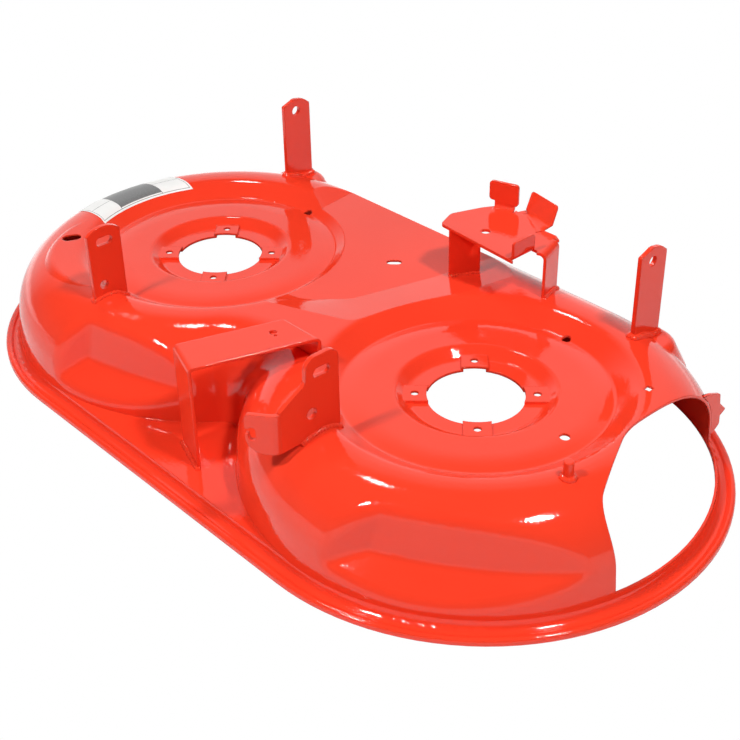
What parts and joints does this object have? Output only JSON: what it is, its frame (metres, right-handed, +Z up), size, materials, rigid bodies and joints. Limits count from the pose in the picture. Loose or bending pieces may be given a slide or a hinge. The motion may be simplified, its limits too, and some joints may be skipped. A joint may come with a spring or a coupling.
{
  "type": "lawn mower deck",
  "caption": "Pressed steel mower deck with two round lobes, spindle pans, side discharge opening, rolled lip and welded hanger brackets.",
  "frame": {"origin": "midway between the spindle axes, at the underside of the lip that the deck stands on", "axes": "+X from the left spindle to the right one, where the grass leaves; +Y towards the front of the machine; +Z up"},
  "size_m": [1.1458, 0.638, 0.2505],
  "materials": {
    "painted_steel": "gloss red powder coat"
  },
  "bodies": {
    "root": {"deck_shell": "painted_steel", "left_front_hanger": "painted_steel", "right_front_hanger": "painted_steel", "left_rear_hanger": "painted_steel", "right_rear_hanger": "painted_steel", "rear_channel_bracket": "painted_steel", "belt_keeper_bracket": "painted_steel", "keeper_post": "painted_steel", "chute_hinge_plate": "painted_steel", "belt_guide_pin": "painted_steel"}
  },
  "joints": []
}
